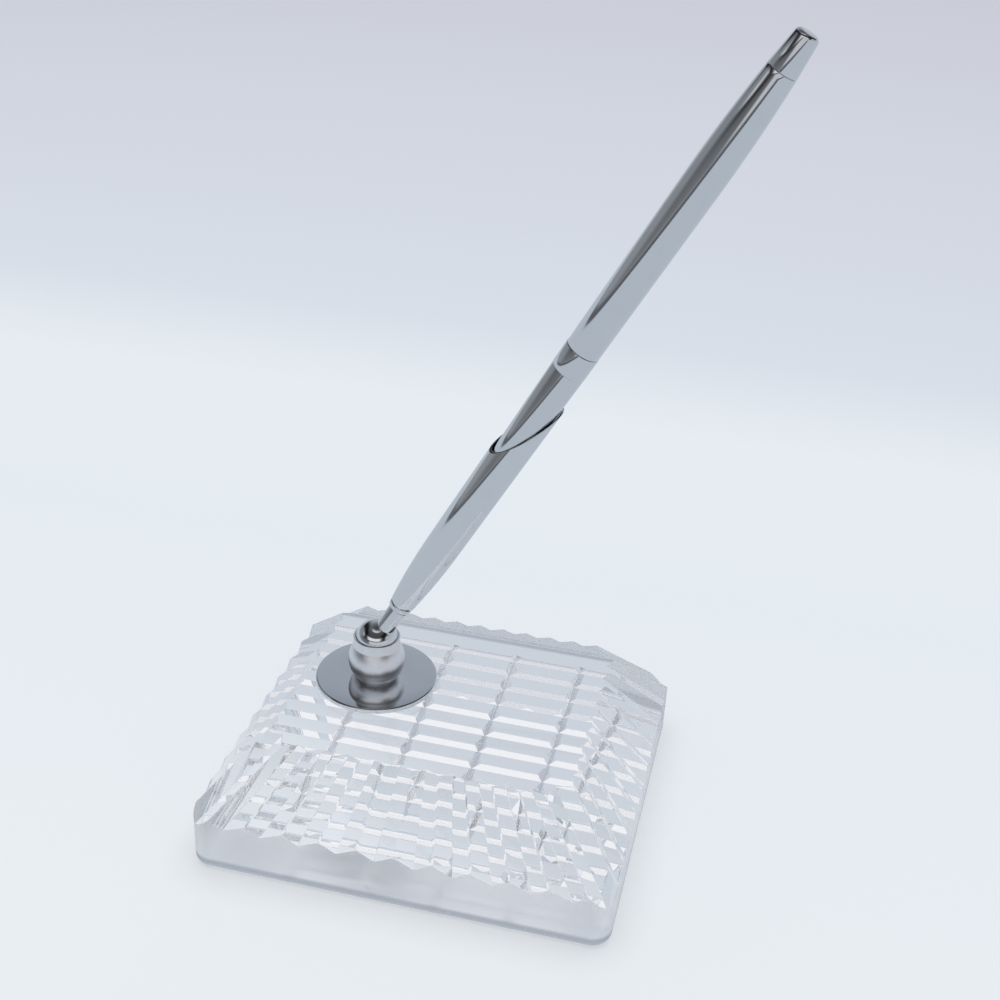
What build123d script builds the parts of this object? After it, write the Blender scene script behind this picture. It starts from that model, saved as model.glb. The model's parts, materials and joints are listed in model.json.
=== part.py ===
from build123d import *
import math
import os

# Desk pen stand: a cut glass base, a ball-and-socket swivel, a funnel and a twist-action ball pen.
# Sizes are in millimetres. The origin is the middle of the base's underside, with +Z up and +X to the right.
# Heights in the swivel are counted from the disc's top face, and stations along the funnel and the pen are
# counted from the ball's centre along the leaning axis.

# Glass base
base_width = 95.0
base_depth = 85.0
base_height = 28.0
side_height = 14.0
slope_run = 12.7
corner_radius = 4.5
hip_width = 7.0
hip_depth = 1.2
foot_rounding = 2.0

# Flutes that fan out down the four slopes, measured at the arris above the upright sides
flute_pitch = 8.4
flute_land = 0.5
flute_depth = 1.3

# Prism rows and cross cuts in the underside, inside a plain foot rim
foot_width = 5.0
row_pitch = 6.2
row_land = 0.6
row_depth = 0.85
brick_pitch = 16.7
brick_cut_width = 3.0
brick_cut_depth = 0.9

# Disc, its bonding pad and its place on the flat top
disc_diameter = 28.4
disc_thickness = 1.2
disc_chamfer = 0.25
disc_edge_gap = 3.0
pad_thickness = 0.6
pad_inset = 1.5

# Screw from below the disc into the socket's floor
screw_diameter = 2.5
screw_head_diameter = 4.7
screw_head_height = 1.0
screw_slot_width = 0.6
screw_slot_depth = 0.5
screw_hole_clearance = 0.1
thread_clearance = 0.03

# Socket, ball and the friction parts between them
socket_diameter = 13.2
socket_rise = 4.6
socket_floor = 2.6
lip_rise = 1.1
lip_wall = 0.35
ball_diameter = 10.0
ball_clearance = 0.05
washer_height = 0.5
washer_sheet = 0.2
washer_bore = 3.0
pressure_pad_diameter = 6.4
pressure_pad_middle = 1.55
pocket_clearance = 0.1

# Neck and the stem's thread
lean_angle = 28.8
neck_diameter = 4.4
neck_length = 11.0
ring_length = 1.6
ring_overhang = 0.5
ring_rounding = 0.5
stem_thread_diameter = 2.0
stem_end_past_nut = 0.3
nut_across_flats = 4.0
nut_height = 1.6
nut_gap = 0.15

# Funnel and the seat inside it
funnel_length = 63.0
funnel_floor = 2.0
funnel_curve_length = 19.0
funnel_wall = 0.35
funnel_taper = 0.3
funnel_nose_rounding = 0.4
mouth_slant = 63.5
mouth_turn = 18.0
pen_gap = 0.25
seat_length = 6.0
seat_gap = 0.1
press_gap = 0.02

# Pen, from nose to tail
pen_core_diameter = 5.6
nose_reach = 4.0
nose_length = 20.0
nose_tip_diameter = 3.0
nose_hole_length = 3.0
nose_thread_length = 6.0
front_length = 36.5
band_length = 5.5
upper_length = 66.5
widest_length = 42.0
cap_length = 8.0
cap_end_diameter = 4.8
cap_end_rounding = 1.0
cap_plug_length = 6.0
joint_groove = 0.15
nose_joint_wall = 0.45
band_wall = 0.95
band_rise = 0.06
widest_wall = 1.15
tail_wall = 0.35
twist_gap = 0.1

# Refill and twist action
refill_length = 67.0
refill_diameter = 2.35
tip_length = 9.0
tip_diameter = 1.5
tip_point_length = 1.8
tip_point_diameter = 0.6
tip_inside = 0.5
point_travel = 5.0
refill_clearance = 0.15
running_clearance = 0.05
housing_insert = 12.0
guide_length = 6.0
guide_lead = 2.5
spindle_socket_depth = 6.0
spindle_socket_wall = 0.5
spindle_rod_diameter = 3.2
spindle_flat_width = 2.4
spindle_screw_diameter = 2.2
drive_nut_length = 8.0
drive_nut_lead = 1.0

# Places worked out from the sizes above
slope_rise = base_height - side_height
slope_length = math.hypot(slope_run, slope_rise)
hip_reach = hip_width / math.sqrt(2)
disc_radius = disc_diameter / 2
disc_x = -(base_width / 2 - slope_run) + disc_edge_gap + disc_radius
disc_y = 0
disc_foot = base_height + pad_thickness
disc_top = disc_foot + disc_thickness
ball_radius = ball_diameter / 2
ball_rise = socket_floor + washer_height + pressure_pad_middle + ball_clearance + ball_radius
ball_centre = (disc_x, disc_y, disc_top + ball_rise)

nut_corner_radius = nut_across_flats / 2 / math.cos(math.radians(30))
stem_thread_radius = stem_thread_diameter / 2
funnel_start = neck_length + ring_length
funnel_end = funnel_start + funnel_length
funnel_floor_top = funnel_start + funnel_floor
curve_end = funnel_start + funnel_curve_length
nut_top = funnel_floor_top + nut_height

core_radius = pen_core_diameter / 2
nose_start = curve_end - nose_reach
nose_end = nose_start + nose_length
front_end = nose_end + front_length
band_end = front_end + band_length
upper_end = band_end + upper_length
cap_end = upper_end + cap_length
nose_joint_radius = core_radius + nose_joint_wall
band_radius = core_radius + band_wall
widest_radius = core_radius + widest_wall
tail_radius = core_radius + tail_wall

refill_radius = refill_diameter / 2
tip_radius = tip_diameter / 2
refill_start = nose_start + tip_inside
refill_end = refill_start + refill_length
guide_start = refill_end + guide_lead
guide_end = guide_start + guide_length
rod_end = guide_end + point_travel + drive_nut_lead
drive_nut_start = rod_end + drive_nut_lead
drive_nut_end = drive_nut_start + drive_nut_length
spindle_end = drive_nut_end + point_travel


def front_radius(station):
    # outside of the front barrel, which tapers evenly from the band down to the nose
    share = (station - nose_end) / front_length
    return nose_joint_radius + (band_radius - nose_joint_radius) * share


mouth_bore_radius = front_radius(funnel_end) + pen_gap
curve_bore_radius = mouth_bore_radius - funnel_taper
foot_bore_radius = nut_corner_radius + nut_gap


def funnel_bore_radius(station):
    # inside of the funnel's straight taper, above its curved foot
    share = (station - curve_end) / (funnel_end - curve_end)
    return curve_bore_radius + funnel_taper * share


def turned(*points):
    # a solid of revolution about Z from (radius, height) corners
    return revolve(Plane.XZ * make_face(Polyline(*points, close=True)), Axis.Z)


def round_bar(radius, low, high):
    return Pos(0, 0, low) * Cylinder(radius, high - low, align=(Align.CENTER, Align.CENTER, Align.MIN))


def on_disc(shape):
    # from heights above the disc's top face to the stand's frame
    return Pos(disc_x, disc_y, disc_top) * shape


def leaned(shape):
    # from stations along the funnel's axis to the stand's frame
    return Pos(*ball_centre) * Rot(0, lean_angle, 0) * shape


def outside_of(point, normal, along):
    # everything on the outer side of a plane
    reach = 2 * (base_width + base_depth + funnel_length)
    plane = Plane(origin=point, x_dir=along, z_dir=normal)
    return plane * Box(reach, reach, reach, align=(Align.CENTER, Align.CENTER, Align.MIN))


def shouldered_prism(width, plane):
    # the base's end view, drawn past its sides so that the block alone gives the upright faces
    spare = slope_run / 2
    half_top = width / 2 - slope_run
    half_low = width / 2 + spare
    low = side_height - spare * slope_rise / slope_run
    outline = Polyline(
        (-half_low, -spare), (half_low, -spare), (half_low, low),
        (half_top, base_height), (-half_top, base_height), (-half_low, low), close=True)
    return extrude(plane * make_face(outline), base_width + base_depth, both=True)


def hip_cutters():
    # one wide V groove along each of the four hips
    steepness = math.hypot(slope_rise, slope_rise, 2 * slope_run)
    face_cosine = (slope_rise ** 2 + 2 * slope_run ** 2) / (steepness * slope_length)
    edge_depth = hip_width / 2 * math.tan(math.acos(face_cosine))
    facet_tilt = math.atan2(hip_depth, hip_width / 2)
    cutters = []
    for side_x in (-1, 1):
        for side_y in (-1, 1):
            outward = Vector(side_x * slope_rise, side_y * slope_rise, 2 * slope_run).normalized()
            across = Vector(-side_y, side_x, 0).normalized()
            corner = Vector(side_x * (base_width / 2 - slope_run), side_y * (base_depth / 2 - slope_run), base_height)
            valley = corner - outward * (edge_depth + hip_depth)
            facets = [
                outside_of(valley, outward * math.cos(tilt) + across * math.sin(tilt), outward.cross(across))
                for tilt in (-facet_tilt, facet_tilt)]
            cutters.append(facets[0] & facets[1])
    return cutters


def flute_section(arris_half, distance, count, index, share):
    # one flute's cut across the slope, at a share of the way from the flat top down to the arris
    above = slope_run * (1 - share)
    scale = 1 - above / arris_half
    pitch = 2 * arris_half / count
    middle = (index - (count - 1) / 2) * pitch * scale
    half_width = (pitch - flute_land) / 2 * scale
    deep = flute_depth * scale
    across = Plane(origin=(0, above - distance, side_height + above * slope_rise / slope_run),
                   x_dir=(1, 0, 0), z_dir=(0, -slope_run, -slope_rise))
    return across * make_face(Polyline(
        (middle - half_width, 0), (middle, -deep), (middle + half_width, 0),
        (middle + half_width, deep), (middle - half_width, deep), close=True))


def flute_cutters():
    # V grooves that fan out down each slope between the hip grooves, drawn past both ends of the slope
    cutters = []
    for turn, length, distance in ((0, base_width, base_depth / 2), (90, base_depth, base_width / 2)):
        arris_half = length / 2 - hip_reach
        count = round(2 * arris_half / flute_pitch)
        for index in range(count):
            ends = [flute_section(arris_half, distance, count, index, share) for share in (-0.5, 1.5)]
            groove = loft(ends, ruled=True)
            cutters += [Rot(0, 0, turn + half) * groove for half in (0, 180)]
    return cutters


def underside_cutters():
    # long prism rows along X, crossed by narrower cuts along Y, all inside the foot rim
    inner_width = base_width - 2 * foot_width
    inner_depth = base_depth - 2 * foot_width
    row_count = 2 * int(inner_depth / row_pitch / 2)
    brick_count = 2 * int(inner_width / brick_pitch / 2)
    row_half = (row_pitch - row_land) / 2
    row_groove = Polyline((-row_half, 0), (0, row_depth), (row_half, 0),
                          (row_half, -row_depth), (-row_half, -row_depth), close=True)
    brick_half = brick_cut_width / 2
    brick_groove = Polyline((-brick_half, 0), (0, brick_cut_depth), (brick_half, 0),
                            (brick_half, -brick_cut_depth), (-brick_half, -brick_cut_depth), close=True)
    row = extrude(Plane.YZ * make_face(row_groove), inner_width / 2, both=True)
    brick = extrude(Plane.XZ * make_face(brick_groove), row_count * row_pitch / 2, both=True)
    rows = [Pos(0, (index - (row_count - 1) / 2) * row_pitch, 0) * row for index in range(row_count)]
    bricks = [Pos((index - (brick_count - 1) / 2) * brick_pitch, 0, 0) * brick for index in range(brick_count)]
    return rows + bricks


def glass_base():
    block = extrude(RectangleRounded(base_width, base_depth, corner_radius), base_height + slope_run)
    block = fillet(block.faces().sort_by(Axis.Z)[0].edges(), foot_rounding)
    block = block & shouldered_prism(base_width, Plane.XZ) & shouldered_prism(base_depth, Plane.YZ)
    block = block - flute_cutters()
    block = block - hip_cutters()
    return block - underside_cutters()


def bond_pad():
    return Pos(disc_x, disc_y, 0) * round_bar(disc_radius - pad_inset, base_height, disc_foot)


def mount_disc():
    disc = round_bar(disc_radius, -disc_thickness, 0)
    disc = chamfer(disc.faces().sort_by(Axis.Z)[-1].edges(), disc_chamfer)
    return on_disc(disc - screw_shape(screw_hole_clearance))


def screw_shape(clearance):
    # countersunk screw, head flush with the disc's underside and shank up through the socket's floor
    head = screw_head_diameter / 2 + clearance
    shank = screw_diameter / 2 + clearance
    return turned(
        (0, -disc_thickness), (head, -disc_thickness), (shank, -disc_thickness + screw_head_height),
        (shank, socket_floor), (0, socket_floor))


def socket_screw():
    slot = Pos(0, 0, -disc_thickness) * Box(screw_head_diameter, screw_slot_width, 2 * screw_slot_depth)
    return on_disc(screw_shape(0) - slot)


def socket_cup():
    lip_top = ball_rise + lip_rise
    cavity_radius = ball_radius + ball_clearance
    collar = round_bar(cavity_radius + lip_wall, socket_rise, lip_top)
    cup = Pos(0, 0, socket_rise) * Sphere(socket_diameter / 2) + collar
    cup = cup & round_bar(socket_diameter, 0, lip_top)
    pocket = round_bar(pressure_pad_diameter / 2 + pocket_clearance, socket_floor, ball_rise)
    screw_hole = round_bar(screw_diameter / 2 + thread_clearance, -1, socket_floor + 1)
    return on_disc(cup - [Pos(0, 0, ball_rise) * Sphere(cavity_radius), pocket, screw_hole])


def spring_washer():
    # sheet metal cone that stands on its rim
    outer = pressure_pad_diameter / 2
    inner = washer_bore / 2
    return on_disc(turned(
        (outer, socket_floor), (outer, socket_floor + washer_sheet),
        (inner, socket_floor + washer_height), (inner, socket_floor + washer_height - washer_sheet)))


def pressure_pad():
    low = socket_floor + washer_height
    dish = Pos(0, 0, ball_rise) * Sphere(ball_radius + ball_clearance)
    return on_disc(round_bar(pressure_pad_diameter / 2, low, ball_rise - ball_radius / 2) - dish)


def ball_stem():
    neck = round_bar(neck_diameter / 2, 0, neck_length)
    thread = round_bar(stem_thread_radius, 0, nut_top + stem_end_past_nut)
    return leaned(Sphere(ball_radius) + neck + thread)


def neck_ring():
    ring = round_bar(neck_diameter / 2 + ring_overhang, neck_length, funnel_start)
    ring = fillet(ring.edges().filter_by(GeomType.CIRCLE), ring_rounding)
    return leaned(ring - round_bar(stem_thread_radius + thread_clearance, 0, funnel_end))


def stem_nut():
    nut = Pos(0, 0, funnel_floor_top) * extrude(RegularPolygon(nut_corner_radius, 6), nut_height)
    return leaned(nut - round_bar(stem_thread_radius + thread_clearance, 0, funnel_end))


def funnel_form(foot_radius, foot, curve_radius, top_radius):
    # straight taper below the mouth, with an arc that draws it in to the foot
    slope = (curve_radius - top_radius, curve_end - funnel_end)
    arc = TangentArc((curve_radius, curve_end), (foot_radius, foot), tangent=slope)
    straight = Polyline((foot_radius, foot), (0, foot), (0, funnel_end), (top_radius, funnel_end),
                        (curve_radius, curve_end))
    return revolve(Plane.XZ * make_face(arc + straight), Axis.Z)


def funnel():
    outside = funnel_form(foot_bore_radius + funnel_wall, funnel_start,
                          curve_bore_radius + funnel_wall, mouth_bore_radius + funnel_wall)
    outside = fillet(outside.edges().sort_by(Axis.Z)[0], funnel_nose_rounding)
    inside = funnel_form(foot_bore_radius, funnel_floor_top, curve_bore_radius, mouth_bore_radius)
    stem_hole = round_bar(stem_thread_radius + thread_clearance, 0, funnel_end)
    steepness = math.tan(math.radians(mouth_slant))
    turn = math.radians(mouth_turn)
    mouth_middle = funnel_end - steepness * (mouth_bore_radius + funnel_wall)
    normal = (-steepness * math.cos(turn), -steepness * math.sin(turn), 1)
    mouth = outside_of((0, 0, mouth_middle), normal, (-math.sin(turn), math.cos(turn), 0))
    return leaned(outside - [inside, stem_hole] - mouth)


def nose_taper(station):
    share = (station - nose_start) / nose_length
    return nose_tip_diameter / 2 + (nose_joint_radius - nose_tip_diameter / 2) * share


def nose_seat():
    top = curve_end + seat_length
    return leaned(turned(
        (nose_taper(curve_end) + seat_gap, curve_end), (funnel_bore_radius(curve_end) - press_gap, curve_end),
        (funnel_bore_radius(top) - press_gap, top), (nose_taper(top) + seat_gap, top)))


def pen_nose():
    hole = tip_radius + refill_clearance
    bore = refill_radius + refill_clearance
    hole_end = nose_start + nose_hole_length
    thread = core_radius - thread_clearance
    thread_end = nose_end + nose_thread_length
    return leaned(turned(
        (hole, nose_start), (nose_tip_diameter / 2, nose_start), (nose_joint_radius, nose_end),
        (thread, nose_end), (thread, thread_end), (bore, thread_end), (bore, hole_end), (hole, hole_end)))


def front_barrel():
    return leaned(turned(
        (core_radius, nose_end), (nose_joint_radius, nose_end), (band_radius, front_end), (core_radius, front_end)))


def centre_band():
    outer = band_radius + band_rise
    band = round_bar(outer, front_end, band_end) - round_bar(core_radius, front_end, band_end)
    return leaned(band)


def upper_barrel():
    widest = band_end + widest_length
    low = band_end + twist_gap
    slope = (widest_radius - band_radius, widest - low)
    arc = TangentArc((widest_radius, widest), (tail_radius, upper_end), tangent=slope)
    straight = Polyline((tail_radius, upper_end), (core_radius, upper_end), (core_radius, low),
                        (band_radius, low), (widest_radius, widest))
    return leaned(revolve(Plane.XZ * make_face(arc + straight), Axis.Z))


def end_cap():
    plug = core_radius - press_gap
    shoulder = upper_end + joint_groove
    cap = turned((0, shoulder), (tail_radius, shoulder), (cap_end_diameter / 2, cap_end), (0, cap_end))
    cap = fillet(cap.edges().sort_by(Axis.Z)[-1], cap_end_rounding)
    return leaned(cap + round_bar(plug, upper_end - cap_plug_length, shoulder))


def spindle_bars(clearance):
    # rod with two flats, which the guide hole follows
    rod = round_bar(spindle_rod_diameter / 2 + clearance, refill_end, rod_end)
    flats = Pos(0, 0, (refill_end + rod_end) / 2) * Box(
        spindle_flat_width + 2 * clearance, spindle_rod_diameter + 4 * clearance, rod_end - refill_end)
    return rod & flats


def spindle():
    socket_radius = refill_radius + press_gap
    socket = round_bar(socket_radius + spindle_socket_wall, refill_end - spindle_socket_depth, refill_end)
    socket = socket - round_bar(socket_radius, refill_end - spindle_socket_depth, refill_end)
    plate = round_bar(socket_radius + spindle_socket_wall, refill_end, refill_end + spindle_socket_wall)
    screw = round_bar(spindle_screw_diameter / 2, rod_end, spindle_end)
    return leaned(socket + plate + spindle_bars(0) + screw)


def twist_housing():
    outside = round_bar(core_radius - running_clearance, front_end - housing_insert, guide_end)
    bore = refill_radius + press_gap + spindle_socket_wall + refill_clearance
    room = round_bar(bore, front_end - housing_insert, guide_start)
    return leaned(outside - room - spindle_bars(running_clearance))


def drive_nut():
    nut = round_bar(core_radius - press_gap, drive_nut_start, drive_nut_end)
    bore = spindle_screw_diameter / 2 + running_clearance
    return leaned(nut - round_bar(bore, drive_nut_start, drive_nut_end))


def refill_tube():
    return leaned(round_bar(refill_radius, refill_start + tip_length, refill_end))


def refill_tip():
    point = refill_start + tip_point_length
    return leaned(turned(
        (0, refill_start), (tip_point_diameter / 2, refill_start), (tip_radius, point),
        (tip_radius, refill_start + tip_length), (0, refill_start + tip_length)))


nodes = (
    glass_base, bond_pad, mount_disc, socket_screw, socket_cup, spring_washer, pressure_pad,
    ball_stem, neck_ring, stem_nut, funnel, nose_seat,
    pen_nose, front_barrel, centre_band, twist_housing, upper_barrel, end_cap, drive_nut,
    spindle, refill_tube, refill_tip)

os.makedirs("parts", exist_ok=True)
for node in nodes:
    export_step(node(), f"parts/{node.__name__}.step")
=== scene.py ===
import json
import math

import bmesh
import bpy
from mathutils import Matrix, Vector


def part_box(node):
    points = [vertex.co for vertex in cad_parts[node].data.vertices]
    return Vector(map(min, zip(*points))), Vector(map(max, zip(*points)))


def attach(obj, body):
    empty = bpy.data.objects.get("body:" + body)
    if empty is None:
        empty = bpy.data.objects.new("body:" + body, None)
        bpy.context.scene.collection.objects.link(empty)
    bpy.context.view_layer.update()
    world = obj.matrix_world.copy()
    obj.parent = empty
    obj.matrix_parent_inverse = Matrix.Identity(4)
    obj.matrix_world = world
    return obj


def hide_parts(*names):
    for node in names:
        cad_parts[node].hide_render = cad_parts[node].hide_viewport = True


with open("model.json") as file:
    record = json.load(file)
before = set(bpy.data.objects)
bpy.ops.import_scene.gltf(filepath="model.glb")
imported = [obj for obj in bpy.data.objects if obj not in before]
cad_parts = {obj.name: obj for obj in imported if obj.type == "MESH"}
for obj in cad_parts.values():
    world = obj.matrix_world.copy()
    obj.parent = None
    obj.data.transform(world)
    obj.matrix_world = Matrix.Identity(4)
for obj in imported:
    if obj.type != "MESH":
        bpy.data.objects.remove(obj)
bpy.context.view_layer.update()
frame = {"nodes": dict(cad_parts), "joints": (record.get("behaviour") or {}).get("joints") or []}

mm = 0.001
scene = bpy.context.scene
scene.view_settings.view_transform = "Standard"
bounces = 32  # light crosses many cut faces before it leaves the glass
scene.cycles.max_bounces = bounces
scene.cycles.transmission_bounces = bounces
scene.cycles.glossy_bounces = bounces

# the leaning axis runs from the ball's centre through the funnel and the pen
joints = {joint["name"]: joint for joint in frame["joints"]}
ballCentre = Vector(joints["holder_tilt"]["pos_m"])
penAxis = Vector(joints["pen_lift"]["axis"])
leanPlace = Matrix.Translation(ballCentre) @ Matrix.Rotation(math.atan2(penAxis.x, penAxis.z), 4, "Y")
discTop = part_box("mount_disc")[1].z
discPlace = Matrix.Translation((ballCentre.x, ballCentre.y, discTop))
print("frame loaded with", len(frame["nodes"]), "nodes")


# materials: a Wire is one output socket, and sums on it add Math nodes
class Wire:
    def __init__(self, paint, socket):
        self.paint = paint
        self.socket = socket

    def combine(self, operation, first, second):
        return self.paint.node("ShaderNodeMath", {"operation": operation}, {0: first, 1: second})

    def __add__(self, other):
        return self.combine("ADD", self, other)

    def __radd__(self, other):
        return self.combine("ADD", other, self)

    def __sub__(self, other):
        return self.combine("SUBTRACT", self, other)

    def __rsub__(self, other):
        return self.combine("SUBTRACT", other, self)

    def __mul__(self, other):
        return self.combine("MULTIPLY", self, other)

    def __rmul__(self, other):
        return self.combine("MULTIPLY", other, self)


class Paint:
    def __init__(self, owner):
        owner.use_nodes = True
        self.tree = owner.node_tree

    def put(self, socket, value):
        if isinstance(value, Wire):
            self.tree.links.new(value.socket, socket)
        else:
            socket.default_value = value

    # any node: its settings first, then the values or links of its sockets
    def node(self, kind, settings=None, inputs=None, output=0):
        made = self.tree.nodes.new(kind)
        for name, value in (settings or {}).items():
            if name == "stops":
                stops = made.color_ramp.elements
                while len(stops) < len(value):
                    stops.new(1.0)
                for stop, (position, colour) in zip(stops, value):
                    stop.position = position
                    stop.color = (*colour, 1.0)
            else:
                setattr(made, name, value)
        for name, value in (inputs or {}).items():
            self.put(made.inputs[name], value)
        return Wire(self, made.outputs[output])

    def spot(self):
        return self.node("ShaderNodeTexCoord", output="Object")

    def part(self, vector, axis):
        return self.node("ShaderNodeSeparateXYZ", inputs={0: vector}, output=axis)

    def noise(self, vector, scale, detail):
        return self.node("ShaderNodeTexNoise", inputs={"Vector": vector, "Scale": scale, "Detail": detail})

    # straight change from first to last over a span of the value, and the same with eased ends
    def slope(self, value, span, first=0.0, last=1.0, ease="LINEAR"):
        return self.node("ShaderNodeMapRange", {"interpolation_type": ease}, {
            "Value": value, "From Min": span[0], "From Max": span[1], "To Min": first, "To Max": last})

    def ease(self, value, span, first=0.0, last=1.0):
        return self.slope(value, span, first, last, "SMOOTHSTEP")

    def ramp(self, factor, stops):
        return self.node("ShaderNodeValToRGB", {"stops": stops}, {0: factor})

    # sockets 6 and 7 and output 2 are the Mix node's colours
    def mixed(self, factor, first, second):
        return self.node("ShaderNodeMix", {"data_type": "RGBA"}, {0: factor, 6: first, 7: second}, 2)

    # as mixed, for two plain colours
    def between(self, factor, first, second):
        return self.mixed(factor, (*first, 1.0), (*second, 1.0))

    def scaled(self, colour, factor):
        return self.node("ShaderNodeVectorMath", {"operation": "SCALE"}, {0: colour, "Scale": factor})

    def ray(self, kind):
        return self.node("ShaderNodeLightPath", output=kind)

    # rays from metal alone, because a ray through glass counts as glossy too
    def metalRay(self):
        return self.ray("Is Glossy Ray") * (1.0 - self.ray("Is Transmission Ray"))

    def bump(self, height, strength, distance):
        return self.node("ShaderNodeBump", inputs={
            "Strength": strength, "Distance": distance, "Height": height})

    # object coordinates seen from a turned piece's own axis
    def turned(self, place):
        place = place.inverted()
        return self.node("ShaderNodeMapping", inputs={
            "Vector": self.spot(), "Location": place.to_translation(), "Rotation": place.to_euler()})

    def stretched(self, vector, scale):
        return self.node("ShaderNodeMapping", inputs={"Vector": vector, "Scale": scale})


def newFinish(name, uniform):
    material = bpy.data.materials.new(name)
    paint = Paint(material)
    shader = paint.tree.nodes["Principled BSDF"].inputs
    for socketName, value in uniform.items():
        shader[socketName].default_value = value
    return material, paint, shader


# cut glass: clear and polished, satin on the upright sides, and a painted contact shadow in grey on the
# slanted faces at the foot
glassFinishLook = {
    "tint": (0.972, 0.976, 0.99), "deepTint": (0.955, 0.96, 0.982), "index": 1.5,
    "striae": 60.0, "striaeStretch": (1.0, 0.35, 1.6), "striaeDetail": 3.0,
    "ripple": 0.12, "rippleDepth": 0.0004, "haze": 900.0, "hazeDetail": 2.0, "hazeRough": 0.022,
    "polish": 0.006, "satin": 0.5, "upright": (0.002, 0.06),
    "footShade": (0.42, 0.43, 0.47), "footRise": 0.0034, "footFade": 0.75, "tilted": (0.5, 0.86)}


def cutGlassFinish():
    look = glassFinishLook
    material, paint, shader = newFinish("cutGlass", {"Transmission Weight": 1.0, "IOR": look["index"]})
    spot = paint.spot()
    level = paint.part(paint.node("ShaderNodeTexCoord", output="Normal"), "Z")
    steepness = level * level  # the same for a face seen from inside
    upright = paint.slope(steepness, look["upright"], 1.0, 0.0)
    tilted = paint.slope(steepness, look["tilted"], 1.0, 0.0)
    # painted contact shadow: slanted faces lower than footRise are mixed towards grey
    footSpan = (look["footRise"] * look["footFade"], look["footRise"])
    low = paint.slope(paint.part(spot, "Z"), footSpan, 1.0, 0.0)
    streak = paint.noise(paint.stretched(spot, look["striaeStretch"]), look["striae"], look["striaeDetail"])
    film = paint.noise(spot, look["haze"], look["hazeDetail"])
    clear = paint.between(streak, look["tint"], look["deepTint"])
    paint.put(shader["Base Color"], paint.mixed(low * tilted, clear, (*look["footShade"], 1.0)))
    paint.put(shader["Roughness"], look["polish"] + film * look["hazeRough"] + upright * look["satin"])
    paint.put(shader["Normal"], paint.bump(streak, look["ripple"], look["rippleDepth"]))
    return material


# chrome: polished plating with faint smudges, and buffing lines that run round a piece's axis or along it
plateLook = {"smudge": 260.0, "smudgeDetail": 3.0, "smudgeRough": 0.04, "dull": 0.94,
             "buff": 1000.0, "buffDetail": 2.0, "buffRough": 0.03, "polish": 0.03,
             "scratch": 0.05, "scratchDepth": 0.00002}
chromeLooks = {
    "polished_chrome": {"name": "polishedChrome", "place": discPlace, "tone": (0.74, 0.755, 0.775),
                        "lines": (0.6, 0.6, 4.0), "satin": 0.0},
    "socket_chrome": {"name": "socketChrome", "place": discPlace, "tone": (0.92, 0.925, 0.95),
                      "lines": (0.6, 0.6, 4.0), "satin": 0.3},
    "holder_chrome": {"name": "holderChrome", "place": leanPlace, "tone": (0.74, 0.755, 0.775),
                      "lines": (3.0, 3.0, 0.25), "satin": 0.0},
    "pen_chrome": {"name": "penChrome", "place": leanPlace, "tone": (0.72, 0.735, 0.755),
                   "lines": (3.0, 3.0, 0.15), "satin": 0.0},
}


def chromeFinish(look):
    plate = plateLook
    material, paint, shader = newFinish(look["name"], {"Metallic": 1.0})
    spot = paint.turned(look["place"])
    smudge = paint.noise(spot, plate["smudge"], plate["smudgeDetail"])
    buff = paint.noise(paint.stretched(spot, look["lines"]), plate["buff"], plate["buffDetail"])
    dulled = tuple(plate["dull"] * channel for channel in look["tone"])
    smooth = plate["polish"] + look["satin"]
    paint.put(shader["Base Color"], paint.between(smudge, dulled, look["tone"]))
    paint.put(shader["Roughness"], smooth + smudge * plate["smudgeRough"] + buff * plate["buffRough"])
    paint.put(shader["Normal"], paint.bump(buff, plate["scratch"], plate["scratchDepth"]))
    return material


# plain stock for the pad and the inner pieces, with its grain drawn along the leaning axis
grainLook = {"grain": 1000.0, "wear": 180.0, "detail": 3.0, "relief": 0.1, "reliefDepth": 0.00003}
stockLooks = {
    "clear_bond": {
        "uniform": {"Transmission Weight": 0.15, "IOR": 1.47}, "dark": (0.93, 0.94, 0.96),
        "pale": (0.96, 0.965, 0.98), "stretch": (0.6, 0.6, 0.6), "rough": 0.3, "spread": 0.12},
    "plain_steel": {
        "uniform": {"Metallic": 1.0}, "dark": (0.48, 0.49, 0.51),
        "pale": (0.56, 0.57, 0.59), "stretch": (2.0, 2.0, 0.5), "rough": 0.24, "spread": 0.16},
    "white_nylon": {
        "uniform": {"Subsurface Weight": 0.1}, "dark": (0.76, 0.75, 0.70),
        "pale": (0.83, 0.82, 0.78), "stretch": (1.0, 1.0, 1.0), "rough": 0.42, "spread": 0.16},
    "turned_brass": {
        "uniform": {"Metallic": 1.0}, "dark": (0.62, 0.46, 0.20),
        "pale": (0.74, 0.58, 0.29), "stretch": (0.3, 0.3, 5.0), "rough": 0.18, "spread": 0.16},
    "black_acetal": {
        "uniform": {"Specular IOR Level": 0.4}, "dark": (0.022, 0.022, 0.026),
        "pale": (0.04, 0.04, 0.045), "stretch": (1.0, 1.0, 0.6), "rough": 0.38, "spread": 0.2},
    "refill_tin": {
        "uniform": {"Metallic": 1.0}, "dark": (0.55, 0.56, 0.58),
        "pale": (0.65, 0.66, 0.68), "stretch": (3.0, 3.0, 0.2), "rough": 0.2, "spread": 0.15},
}


def grainFinish(name, look):
    material, paint, shader = newFinish(name, look["uniform"])
    drawn = paint.stretched(paint.turned(leanPlace), look["stretch"])
    grain = paint.noise(drawn, grainLook["grain"], grainLook["detail"])
    wear = paint.noise(paint.spot(), grainLook["wear"], grainLook["detail"])
    paint.put(shader["Base Color"], paint.between(wear, look["dark"], look["pale"]))
    paint.put(shader["Roughness"], look["rough"] + grain * look["spread"])
    paint.put(shader["Normal"], paint.bump(grain, grainLook["relief"], grainLook["reliefDepth"]))
    return material


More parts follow.
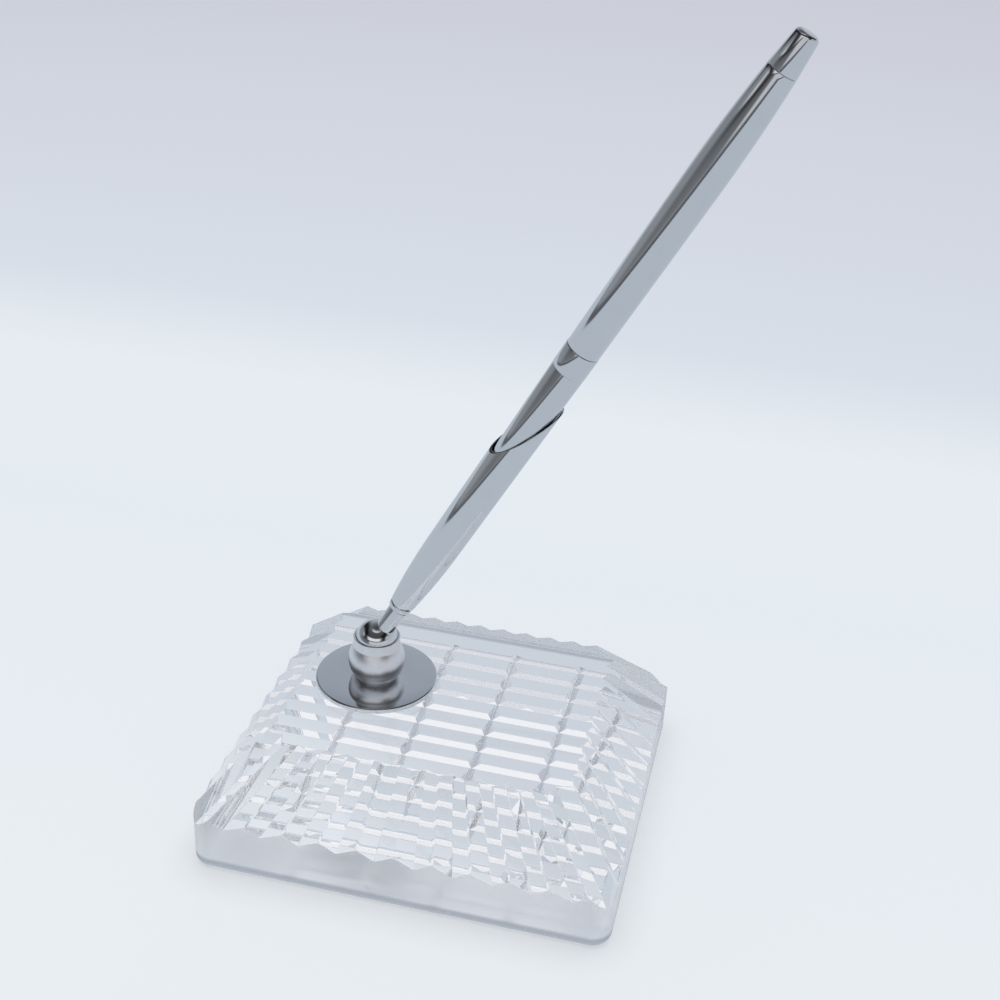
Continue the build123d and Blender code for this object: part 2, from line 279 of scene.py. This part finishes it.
finishes = {"cut_glass": cutGlassFinish()}
finishes.update({slotName: chromeFinish(look) for slotName, look in chromeLooks.items()})
finishes.update({name: grainFinish(name, look) for name, look in stockLooks.items()})
print("finishes made:", ", ".join(finishes))

# turned pieces: a wire profile of (radius, station) stops in millimetres, spun about its axis;
# a longer stop ends an arc, with the arc's centre and its steps after the place
meshLook = {"profileWeld": 1e-7, "spunWeld": 1e-6, "cadWeld": 2e-6, "edgeAngle": 25.0, "edgeSegments": 3}


def startProfile(mesh, stops):
    last = mesh.verts.new((stops[0][0] * mm, 0, stops[0][1] * mm))
    for stop in stops[1:]:
        end = Vector((stop[0] * mm, 0, stop[1] * mm))
        if len(stop) == 2:
            follow = mesh.verts.new(end)
            mesh.edges.new((last, follow))
            last = follow
            continue
        centre = Vector((stop[2] * mm, 0, stop[3] * mm))
        before = math.atan2(last.co.x - centre.x, last.co.z - centre.z)
        after = math.atan2(end.x - centre.x, end.z - centre.z)
        sweep = (after - before + math.pi) % (2 * math.pi) - math.pi
        swept = bmesh.ops.spin(mesh, geom=[last], cent=centre, axis=(0, 1, 0), angle=sweep, steps=stop[4])
        last = [item for item in swept["geom_last"] if isinstance(item, bmesh.types.BMVert)][0]


def spinProfile(mesh, steps, edgeRound, edgeAngle):
    bmesh.ops.remove_doubles(mesh, verts=mesh.verts, dist=meshLook["profileWeld"])
    bmesh.ops.spin(mesh, geom=mesh.verts[:] + mesh.edges[:], cent=(0, 0, 0), axis=(0, 0, 1),
                   angle=2 * math.pi, steps=steps, use_merge=True)
    bmesh.ops.remove_doubles(mesh, verts=mesh.verts, dist=meshLook["spunWeld"])
    bmesh.ops.recalc_face_normals(mesh, faces=mesh.faces)
    if edgeRound:
        roundEdges(mesh, sharpEdges(mesh.edges, edgeAngle), edgeRound, meshLook["edgeSegments"])


def sharpEdges(edges, angle):
    return [edge for edge in edges if edge.is_manifold and edge.calc_face_angle() > math.radians(angle)]


def roundEdges(mesh, edges, width, segments):
    bmesh.ops.bevel(mesh, geom=edges, offset=width * mm, offset_type="OFFSET", affect="EDGES",
                    segments=segments, profile=0.5, material=-1, clamp_overlap=True)


def finishPiece(name, mesh, place, finish, body, node):
    bmesh.ops.transform(mesh, matrix=place, verts=mesh.verts)
    for face in mesh.faces:
        face.smooth = True
    data = bpy.data.meshes.new(name)
    mesh.to_mesh(data)
    mesh.free()
    data.materials.append(finishes[finish])
    piece = bpy.data.objects.new(name, data)
    scene.collection.objects.link(piece)
    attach(piece, body)
    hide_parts(node)
    return piece


def turnedPiece(name, look, profile, place, finish, body, node):
    mesh = bmesh.new()
    startProfile(mesh, profile)
    spinProfile(mesh, look["steps"], look["edgeRound"], meshLook["edgeAngle"])
    finishPiece(name, mesh, place, finish, body, node)


def tangentCentre(start, along, end):
    # centre of the arc that leaves start in the direction along and meets end
    inward = Vector((-along.y, along.x))
    chord = end - start
    return start + inward * (chord.length_squared / (2 * chord.dot(inward)))


# glass base: the CAD block with its faces rejoined and a fine polished edge on every cut
glassLook = {"flat": 0.6, "edge": 0.12, "edgeAngle": 12.0, "edgeSegments": 2}


def glassBlock():
    look = glassLook
    mesh = bmesh.new()
    mesh.from_mesh(frame["nodes"]["glass_base"].data)
    bmesh.ops.remove_doubles(mesh, verts=mesh.verts, dist=meshLook["cadWeld"])
    bmesh.ops.dissolve_limit(mesh, angle_limit=math.radians(look["flat"]), verts=mesh.verts,
                             edges=mesh.edges, delimit={"NORMAL"})
    roundEdges(mesh, sharpEdges(mesh.edges, look["edgeAngle"]), look["edge"], look["edgeSegments"])
    bmesh.ops.triangulate(mesh, faces=[face for face in mesh.faces if len(face.verts) > 4])
    piece = finishPiece("glassBlock", mesh, Matrix.Identity(4), "cut_glass",
                        "stand", "glass_base")
    for face in piece.data.polygons:
        face.use_smooth = False


glassBlock()
print("glass block made")

# pad, disc and socket, with stations counted from the disc's top face;
# the pad keeps a hair's breadth off the glass and the disc, so that the glass still mirrors at its own face
discLook = {"steps": 160, "edgeRound": 0.09, "radius": 14.2, "thickness": 1.2, "chamfer": 0.25,
            "screwHole": 1.35, "screwHead": 2.45, "headHeight": 1.0}
padLook = {"steps": 128, "edgeRound": 0.04, "radius": 12.7, "thickness": 0.6, "gap": 0.02}
socketLook = {"steps": 128, "edgeRound": 0.07, "radius": 6.6, "rise": 4.6, "bulgeSteps": 24,
              "collar": 5.4, "lip": 10.8, "cavity": 5.05, "cavitySteps": 16,
              "pocket": 3.3, "floor": 2.6, "screwHole": 1.28}


def discProfile():
    look = discLook
    radius, hole, under = look["radius"], look["screwHole"], -look["thickness"]
    return [(hole, 0), (radius - look["chamfer"], 0), (radius, -look["chamfer"]), (radius, under),
            (look["screwHead"], under), (hole, under + look["headHeight"]), (hole, 0)]


def padProfile():
    look = padLook
    high = -discLook["thickness"] - look["gap"]
    low = -discLook["thickness"] - look["thickness"] + look["gap"]
    return [(0, low), (look["radius"], low), (look["radius"], high), (0, high)]


def socketProfile():
    look = socketLook
    hole, pocket, collar, lip = (look[key] for key in ("screwHole", "pocket", "collar", "lip"))
    ballRise = (ballCentre.z - discTop) / mm
    foot = math.sqrt(look["radius"] ** 2 - look["rise"] ** 2)
    shoulder = look["rise"] + math.sqrt(look["radius"] ** 2 - collar ** 2)
    mouth = math.sqrt(look["cavity"] ** 2 - (lip - ballRise) ** 2)
    pocketTop = ballRise - math.sqrt(look["cavity"] ** 2 - pocket ** 2)
    return [(hole, 0), (foot, 0), (collar, shoulder, 0, look["rise"], look["bulgeSteps"]), (collar, lip),
            (mouth, lip), (pocket, pocketTop, 0, ballRise, look["cavitySteps"]),
            (pocket, look["floor"]), (hole, look["floor"]), (hole, 0)]


turnedPiece("bondPad", padLook, padProfile(), discPlace, "clear_bond", "stand", "bond_pad")
turnedPiece("mountDisc", discLook, discProfile(), discPlace, "polished_chrome",
            "stand", "mount_disc")
turnedPiece("socketCup", socketLook, socketProfile(), discPlace, "socket_chrome",
            "stand", "socket_cup")
print("pad, disc and socket made")

# ball, neck and ring, with stations counted from the ball's centre
ballLook = {"steps": 128, "edgeRound": 0.12, "radius": 5.0, "lowSteps": 20, "highSteps": 16,
            "neck": 2.2, "neckEnd": 11.0, "stem": 1.0, "stemEnd": 16.5}
ringLook = {"steps": 96, "edgeRound": 0, "radius": 2.7, "bore": 1.03, "length": 1.6,
            "rounding": 0.5, "roundingSteps": 8}


def ballProfile():
    look = ballLook
    radius, neck, stem = look["radius"], look["neck"], look["stem"]
    return [(0, -radius), (radius, 0, 0, 0, look["lowSteps"]),
            (neck, math.sqrt(radius ** 2 - neck ** 2), 0, 0, look["highSteps"]),
            (neck, look["neckEnd"]), (stem, look["neckEnd"]), (stem, look["stemEnd"]), (0, look["stemEnd"])]


def ringProfile():
    look = ringLook
    radius, bore, steps = look["radius"], look["bore"], look["roundingSteps"]
    low = ballLook["neckEnd"]
    high = low + look["length"]
    flat = radius - look["rounding"]
    lowTurn, highTurn = low + look["rounding"], high - look["rounding"]
    return [(bore, low), (flat, low), (radius, lowTurn, flat, lowTurn, steps), (radius, highTurn),
            (flat, high, flat, highTurn, steps), (bore, high), (bore, low)]


turnedPiece("ballStem", ballLook, ballProfile(), leanPlace, "holder_chrome",
            "holder", "ball_stem")
turnedPiece("neckRing", ringLook, ringProfile(), leanPlace, "holder_chrome",
            "holder", "neck_ring")
print("ball, neck and ring made")

# funnel: an outer and an inner wall, both cut by the slanted mouth and joined round its rim
funnelLook = {
    "steps": 128, "floor": 14.6, "curveEnd": 31.6, "curveSteps": 24, "top": 75.6, "wall": 0.35,
    "footBore": 2.459, "curveBore": 3.584, "mouthBore": 3.884, "slant": 63.5, "turn": 18.0,
    "footRound": 0.2, "footAngle": 40.0, "rimRound": 0.06, "rimSegments": 2}


def drawnInArc(curveRadius, topRadius, footRadius, foot):
    # the straight taper is carried on into the foot
    start = Vector((curveRadius, funnelLook["curveEnd"]))
    along = (Vector((topRadius, funnelLook["top"])) - start).normalized()
    return tangentCentre(start, along, Vector((footRadius, foot)))


def funnelTube():
    look = funnelLook
    floor, steps, stemHole = look["floor"], look["curveSteps"], ringLook["bore"]
    foot = ballLook["neckEnd"] + ringLook["length"]
    innerFoot, innerCurve, innerTop = (look[key] for key in ("footBore", "curveBore", "mouthBore"))
    outerFoot, outerCurve, outerTop = (bore + look["wall"] for bore in (innerFoot, innerCurve, innerTop))
    outerArc = drawnInArc(outerCurve, outerTop, outerFoot, foot)
    innerArc = drawnInArc(innerCurve, innerTop, innerFoot, floor)
    mesh = bmesh.new()
    startProfile(mesh, [
        (innerTop, look["top"]), (innerCurve, look["curveEnd"]), (innerFoot, floor, *innerArc, steps),
        (stemHole, floor), (stemHole, foot), (outerFoot, foot),
        (outerCurve, look["curveEnd"], *outerArc, steps), (outerTop, look["top"])])
    spinProfile(mesh, look["steps"], look["footRound"], look["footAngle"])
    steepness = math.tan(math.radians(look["slant"]))
    turn = math.radians(look["turn"])
    middle = Vector((0, 0, (look["top"] - steepness * outerTop) * mm))
    normal = Vector((-steepness * math.cos(turn), -steepness * math.sin(turn), 1))
    bmesh.ops.bisect_plane(mesh, geom=mesh.verts[:] + mesh.edges[:] + mesh.faces[:], plane_co=middle,
                           plane_no=normal, clear_outer=True)
    rims = [edge for edge in mesh.edges if edge.is_boundary]
    joined = bmesh.ops.bridge_loops(mesh, edges=rims)
    bmesh.ops.recalc_face_normals(mesh, faces=mesh.faces)
    rimEdges = {edge for face in joined["faces"] for edge in face.edges}
    roundEdges(mesh, sharpEdges(rimEdges, meshLook["edgeAngle"]), look["rimRound"], look["rimSegments"])
    finishPiece("funnelTube", mesh, leanPlace, "holder_chrome", "holder", "funnel")


funnelTube()
print("funnel made")

# pen, nose to tail, with stations counted from the ball's centre
barrelBore = 2.8
noseLook = {"steps": 96, "edgeRound": 0.08, "tip": 27.6, "tipRadius": 1.5, "end": 47.6, "endRadius": 3.25,
            "spigot": 2.77, "spigotEnd": 53.6, "bore": 1.325, "throat": 0.9, "throatEnd": 30.6}
frontLook = {"steps": 128, "edgeRound": 0.05, "end": 84.1, "endRadius": 3.75}
bandLook = {"steps": 128, "edgeRound": 0.12, "end": 89.6, "radius": 3.81}
upperLook = {"steps": 128, "edgeRound": 0.05, "gap": 0.1, "widest": 131.6, "widestRadius": 3.95,
             "end": 156.1, "endRadius": 3.15, "tailSteps": 24}
capLook = {"steps": 128, "edgeRound": 0.06, "gap": 0.15, "plug": 2.78, "plugEnd": 150.1,
           "end": 164.1, "endRadius": 2.4, "rounding": 1.0, "roundingSteps": 8}


def noseProfile():
    look = noseLook
    tip, end, throat, bore, spigot = (look[key] for key in ("tip", "end", "throat", "bore", "spigot"))
    return [(throat, tip), (look["tipRadius"], tip), (look["endRadius"], end), (spigot, end),
            (spigot, look["spigotEnd"]), (bore, look["spigotEnd"]), (bore, look["throatEnd"]),
            (throat, look["throatEnd"]), (throat, tip)]


def sleeveProfile(low, lowRadius, end, endRadius):
    return [(barrelBore, low), (lowRadius, low), (endRadius, end), (barrelBore, end), (barrelBore, low)]


def upperProfile():
    # straight taper up to the widest place, then one long arc down to the tail
    look = upperLook
    end, endRadius = look["end"], look["endRadius"]
    low, lowRadius = bandLook["end"] + look["gap"], frontLook["endRadius"]
    widest = Vector((look["widestRadius"], look["widest"]))
    along = (widest - Vector((lowRadius, low))).normalized()
    centre = tangentCentre(widest, along, Vector((endRadius, end)))
    return [(barrelBore, low), (lowRadius, low), tuple(widest), (endRadius, end, *centre, look["tailSteps"]),
            (barrelBore, end), (barrelBore, low)]


def capProfile():
    # a plug, then a cone whose end is rounded where it meets the flat
    look = capLook
    end, plug = look["end"], look["plug"]
    low, lowRadius = upperLook["end"] + look["gap"], upperLook["endRadius"]
    along = Vector((look["endRadius"] - lowRadius, end - low)).normalized()
    outward = Vector((along.y, -along.x)) * look["rounding"]
    turnHeight = end - look["rounding"]
    leaveHeight = turnHeight + outward.y
    leaveRadius = lowRadius + (leaveHeight - low) * along.x / along.y
    turnRadius = leaveRadius - outward.x
    return [(0, look["plugEnd"]), (plug, look["plugEnd"]), (plug, low), (lowRadius, low),
            (leaveRadius, leaveHeight), (turnRadius, end, turnRadius, turnHeight, look["roundingSteps"]),
            (0, end)]


frontProfile = sleeveProfile(noseLook["end"], noseLook["endRadius"],
                             frontLook["end"], frontLook["endRadius"])
bandProfile = sleeveProfile(frontLook["end"], bandLook["radius"], bandLook["end"], bandLook["radius"])
for name, look, profile, body, node in (
        ("penNose", noseLook, noseProfile(), "pen", "pen_nose"),
        ("frontBarrel", frontLook, frontProfile, "pen", "front_barrel"),
        ("centreBand", bandLook, bandProfile, "pen", "centre_band"),
        ("upperBarrel", upperLook, upperProfile(), "pen_top", "upper_barrel"),
        ("endCap", capLook, capProfile(), "pen_top", "end_cap")):
    turnedPiece(name, look, profile, leanPlace, "pen_chrome", body, node)
print("pen made")

# inner pieces keep their CAD shapes and only take a finish
innerFinishes = {
    "socket_screw": "plain_steel", "spring_washer": "plain_steel", "stem_nut": "plain_steel",
    "pressure_pad": "white_nylon", "nose_seat": "white_nylon",
    "twist_housing": "turned_brass", "drive_nut": "turned_brass", "refill_tip": "turned_brass",
    "spindle": "black_acetal", "refill_tube": "refill_tin"}
for nodeName, finishName in innerFinishes.items():
    for materialSlot in frame["nodes"][nodeName].material_slots:
        materialSlot.material = finishes[finishName]
print("inner pieces finished:", len(innerFinishes))

# floor: a wide pale sheet, with painted shade that makes it greyer far behind the stand; metal sees a darker
# room past its front left edge, and a painted shadow makes the sheet a little darker under the glass, least
# so under its front
white = (1.0, 1.0, 1.0, 1.0)
floorLook = {
    "size": 8.0, "glow": 0.6, "sheen": 0.1, "rough": 0.85,
    "grain": 40.0, "grainDetail": 3.0, "grainRough": 0.1, "span": (-0.1, 1.1),
    "stops": [(0.04, (0.815, 0.847, 0.879)), (0.17, (0.775, 0.823, 0.871)), (0.26, (0.791, 0.839, 0.871)),
              (0.33, (0.686, 0.730, 0.799)), (0.49, (0.651, 0.686, 0.760)), (0.92, (0.631, 0.644, 0.716))],
    "edgeAcross": 0.502, "edgeBack": 0.865, "edgeDistance": 0.85, "edgeSpan": (-2.0, 0.1),
    "mirror": [(0.0, (0.28, 0.295, 0.32)), (0.24, (0.25, 0.265, 0.29)), (0.62, (0.16, 0.17, 0.187)),
               (0.80, (0.115, 0.124, 0.138)), (0.935, (0.10, 0.108, 0.122)), (0.975, (0.575, 0.635, 0.705))],
    "underGlass": (0.79, 0.81, 0.835), "underFront": (0.985, 0.985, 1.0),
    "frontAcross": -0.35, "frontBack": -0.94, "frontSpan": (0.0, 0.034)}


def paleFloor():
    look = floorLook
    material, paint, shader = newFinish("paleFloor", {"Specular IOR Level": look["sheen"]})
    spot = paint.spot()
    across, back = (paint.part(spot, axis) for axis in "XY")
    # painted shade: the sheet's colour grows greyer far behind the stand
    shown = paint.ramp(paint.slope(back, look["span"]), look["stops"])
    grain = paint.noise(spot, look["grain"], look["grainDetail"])
    paint.put(shader["Base Color"], shown)
    paint.put(shader["Roughness"], look["rough"] + grain * look["grainRough"])
    inside = across * look["edgeAcross"] + back * look["edgeBack"] + look["edgeDistance"]
    mirrored = paint.ramp(paint.slope(inside, look["edgeSpan"]), look["mirror"])
    metal = paint.metalRay()
    through = paint.ray("Is Transmission Ray")
    frontLeft = paint.ease(across * look["frontAcross"] + back * look["frontBack"], look["frontSpan"])
    # painted shadow: seen through the glass the sheet is darker, least so under its front
    under = paint.between(frontLeft, look["underGlass"], look["underFront"])
    colour = paint.node("ShaderNodeVectorMath", {"operation": "MULTIPLY"}, {
        0: paint.mixed(metal, shown, mirrored), 1: paint.mixed(through, white, under)})
    glow = paint.node("ShaderNodeEmission", inputs={"Color": colour})
    lit = Wire(paint, paint.tree.nodes["Principled BSDF"].outputs[0])
    seen = paint.ray("Is Camera Ray") * look["glow"] + metal + through
    surface = paint.node("ShaderNodeMixShader", inputs={0: seen, 1: lit, 2: glow})
    paint.put(paint.tree.nodes["Material Output"].inputs["Surface"], surface)
    mesh = bmesh.new()
    bmesh.ops.create_grid(mesh, x_segments=1, y_segments=1, size=look["size"] / 2)
    data = bpy.data.meshes.new("paleFloor")
    mesh.to_mesh(data)
    mesh.free()
    data.materials.append(material)
    floor = bpy.data.objects.new("paleFloor", data)
    scene.collection.objects.link(floor)


paleFloor()

# room: even light for the floor, a sky in the floor's tones for the camera, a pale surround for the glass,
# and for metal a dim ceiling with a bright window band in front and darker sides; a span is a range of one
# part of the direction: across, across squared, depth or up
roomLook = {
    "even": (0.50, 0.505, 0.52),
    "skyFront": (0.65, 0.68, 0.71), "skyBack": (0.505, 0.515, 0.575), "skySpan": (-0.02, 0.25),
    "glass": [(0.0, (0.95, 0.955, 0.97)), (0.38, (0.94, 0.945, 0.965)), (0.52, (0.83, 0.84, 0.89)),
              (0.68, (0.74, 0.755, 0.81)), (1.0, (0.70, 0.71, 0.77))],
    "rightShade": 0.82, "rightSpan": (0.0, 0.6),
    "front": [(0.0, (0.20, 0.21, 0.225)), (0.18, (0.15, 0.158, 0.17)), (0.31, (0.08, 0.084, 0.09)),
              (0.34, (0.92, 0.93, 0.95)), (0.52, (0.92, 0.93, 0.95)), (0.58, (0.07, 0.072, 0.08)),
              (0.90, (0.09, 0.092, 0.10)), (0.93, (0.85, 0.86, 0.88)), (0.96, (0.85, 0.86, 0.88)),
              (1.0, (0.12, 0.123, 0.13))],
    "frontLow": (0.66, 0.67, 0.70), "straightSpan": (-0.5, -0.3), "lowSpan": (0.22, 0.30),
    "back": [(0.0, (0.60, 0.63, 0.68)), (0.3, (0.50, 0.54, 0.59)), (0.62, (0.386, 0.433, 0.497)),
             (0.82, (0.20, 0.21, 0.225)), (1.0, (0.07, 0.072, 0.08))],
    "backSpan": (-0.45, 0.05), "leftShade": 0.55, "leftSpan": (-0.9, -0.5),
    "flankShade": 0.95, "flankSpan": (0.14, 0.5), "broadSpan": (0.66, 0.84), "raisedSpan": (0.2, 0.36)}


def softRoom():
    look = roomLook
    world = bpy.data.worlds.new("softRoom")
    scene.world = world
    paint = Paint(world)
    direction = paint.node("ShaderNodeTexCoord", output="Generated")
    across, depth, up = (paint.part(direction, axis) for axis in "XYZ")
    sideways = across * across
    right = paint.ease(across, look["rightSpan"], 1.0, look["rightShade"])
    glass = paint.scaled(paint.ramp(up, look["glass"]), right)
    flanks = paint.ease(sideways, look["flankSpan"], 0.0, look["flankShade"])
    broadside = paint.ease(sideways, look["broadSpan"])
    kept = 1.0 - flanks * paint.ease(up, look["raisedSpan"]) * (1.0 - broadside)
    front = paint.scaled(paint.ramp(up, look["front"]), kept)
    lowFront = paint.ease(across, look["straightSpan"]) * paint.ease(up, look["lowSpan"], 1.0, 0.0)
    front = paint.mixed(lowFront, front, (*look["frontLow"], 1.0))
    left = paint.ease(across, look["leftSpan"], look["leftShade"], 1.0)
    back = paint.scaled(paint.ramp(up, look["back"]), kept * left)
    metal = paint.mixed(paint.ease(depth, look["backSpan"]), front, back)
    sky = paint.between(paint.slope(depth, look["skySpan"]), look["skyFront"], look["skyBack"])
    seen = paint.mixed(paint.ray("Is Camera Ray"), (*look["even"], 1.0), sky)
    seen = paint.mixed(paint.ray("Is Transmission Ray"), seen, glass)
    seen = paint.mixed(paint.metalRay(), seen, metal)
    paint.put(paint.tree.nodes["Background"].inputs["Color"], seen)


softRoom()

# lamp: one wide soft square overhead, not seen in metal or glass
lampLook = {"place": (0.0, 0.2, 1.8), "aim": (0, 0, 0), "size": 2.0, "power": 24.0,
            "colour": (0.98, 0.99, 1.0)}


def overheadLamp():
    look = lampLook
    data = bpy.data.lights.new("overheadLamp", "AREA")
    data.shape = "SQUARE"
    data.size = look["size"]
    data.energy = look["power"]
    data.color = look["colour"]
    lamp = bpy.data.objects.new("overheadLamp", data)
    lamp.location = look["place"]
    lamp.rotation_euler = (Vector(look["aim"]) - Vector(look["place"])).to_track_quat("-Z", "Y").to_euler()
    lamp.visible_glossy = False
    lamp.visible_transmission = False
    scene.collection.objects.link(lamp)


overheadLamp()
print("floor, room and lamp made")

# camera: fitted to the edges of the base, the disc and the pen in the photograph
cameraLook = {"distance": 0.35885, "azimuth": 12.29, "elevation": 28.43, "roll": 2.91, "right": 0.01404,
              "up": 0.06957, "lens": 53.29, "sensor": 36.0, "shift": -0.0035, "nearest": 0.01}


def photoCamera():
    look = cameraLook
    azimuth, elevation, roll = (math.radians(look[key]) for key in ("azimuth", "elevation", "roll"))
    back = Vector((math.sin(azimuth) * math.cos(elevation), -math.cos(azimuth) * math.cos(elevation),
                   math.sin(elevation)))
    right = Vector((math.cos(azimuth), math.sin(azimuth), 0))
    up = back.cross(right)
    turnedRight = math.cos(roll) * right + math.sin(roll) * up
    turnedUp = math.cos(roll) * up - math.sin(roll) * right
    data = bpy.data.cameras.new("photoCamera")
    data.sensor_fit = "HORIZONTAL"
    data.sensor_width = look["sensor"]
    data.lens = look["lens"]
    data.shift_x = look["shift"]
    data.clip_start = look["nearest"]
    camera = bpy.data.objects.new("photoCamera", data)
    turn = Matrix((turnedRight, turnedUp, back)).transposed()
    place = back * look["distance"] + turnedRight * look["right"] + turnedUp * look["up"]
    camera.matrix_world = Matrix.Translation(place) @ turn.to_4x4()
    scene.collection.objects.link(camera)
    scene.camera = camera


photoCamera()
print("camera placed")
